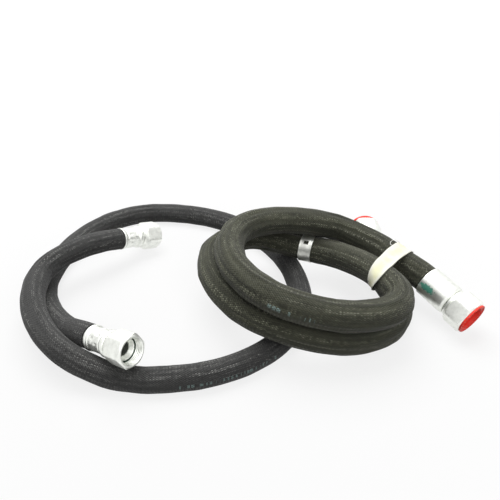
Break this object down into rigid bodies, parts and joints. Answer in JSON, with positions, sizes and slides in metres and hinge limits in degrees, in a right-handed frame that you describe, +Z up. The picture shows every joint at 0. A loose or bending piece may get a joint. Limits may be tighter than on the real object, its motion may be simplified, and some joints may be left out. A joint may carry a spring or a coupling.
{
  "type": "hydraulic hose assembly",
  "caption": "Coiled hydraulic hose lines with crimped ferrules and hexagonal swivel nuts; the thicker line is tied with a strap and has its nuts plugged.",
  "frame": {"origin": "on the floor, below the middle of the whole's bounding box", "axes": "+Z up; +X towards the thicker coil; +Y away from the side that is pictured"},
  "size_m": [0.5106, 0.3496, 0.1033],
  "materials": {
    "small_cover": "woven textile",
    "large_cover": "woven textile",
    "plated_steel": "satin",
    "ring_steel": "satin",
    "plug_plastic": "moulded",
    "band_metal": "satin",
    "strap_cloth": "woven"
  },
  "bodies": {
    "small_line": {"small_hose": "small_cover", "small_end_1_nipple": "plated_steel", "small_end_1_ferrule": "plated_steel", "small_end_1_ring": "ring_steel", "small_end_2_nipple": "plated_steel", "small_end_2_ferrule": "plated_steel", "small_end_2_ring": "ring_steel"},
    "large_line": {"large_hose": "large_cover", "large_end_1_nipple": "plated_steel", "large_end_1_ferrule": "plated_steel", "large_end_1_ring": "ring_steel", "large_end_2_nipple": "plated_steel", "large_end_2_ferrule": "plated_steel", "large_end_2_ring": "ring_steel", "id_band": "band_metal", "tie_strap": "strap_cloth"},
    "small_end_1_swivel": {"small_end_1_nut": "plated_steel"},
    "small_end_2_swivel": {"small_end_2_nut": "plated_steel"},
    "large_end_1_swivel": {"large_end_1_nut": "plated_steel"},
    "large_end_2_swivel": {"large_end_2_nut": "plated_steel"},
    "large_end_1_cap": {"large_end_1_plug": "plug_plastic"},
    "large_end_2_cap": {"large_end_2_plug": "plug_plastic"}
  },
  "joints": [
    {"name": "small_end_1_nut_turn", "type": "hinge", "parent": "small_line", "child": "small_end_1_swivel", "pos_m": [-0.12039, -0.15155, 0.04532], "axis": [0.8002, -0.5645, 0.2027], "continuous": true},
    {"name": "small_end_2_nut_turn", "type": "hinge", "parent": "small_line", "child": "small_end_2_swivel", "pos_m": [-0.13198, 0.08449, 0.02297], "axis": [0.6603, 0.6825, -0.3134], "continuous": true},
    {"name": "large_end_1_nut_turn", "type": "hinge", "parent": "large_line", "child": "large_end_1_swivel", "pos_m": [0.23083, -0.07533, 0.02848], "axis": [0.5845, -0.7785, -0.2288], "continuous": true},
    {"name": "large_end_2_nut_turn", "type": "hinge", "parent": "large_line", "child": "large_end_2_swivel", "pos_m": [0.1565, 0.08781, 0.02188], "axis": [0.0506, 0.9983, 0.03], "continuous": true},
    {"name": "large_end_1_plug_pull", "type": "slide", "parent": "large_end_1_swivel", "child": "large_end_1_cap", "axis": [0.5845, -0.7785, -0.2288], "range_m": [0, 0.03]},
    {"name": "large_end_2_plug_pull", "type": "slide", "parent": "large_end_2_swivel", "child": "large_end_2_cap", "axis": [0.0506, 0.9983, 0.03], "range_m": [0, 0.03]},
    {"name": "large_line_lift", "type": "slide", "parent": "small_line", "child": "large_line", "axis": [0, 0, 1], "range_m": [0, 0.2]}
  ]
}
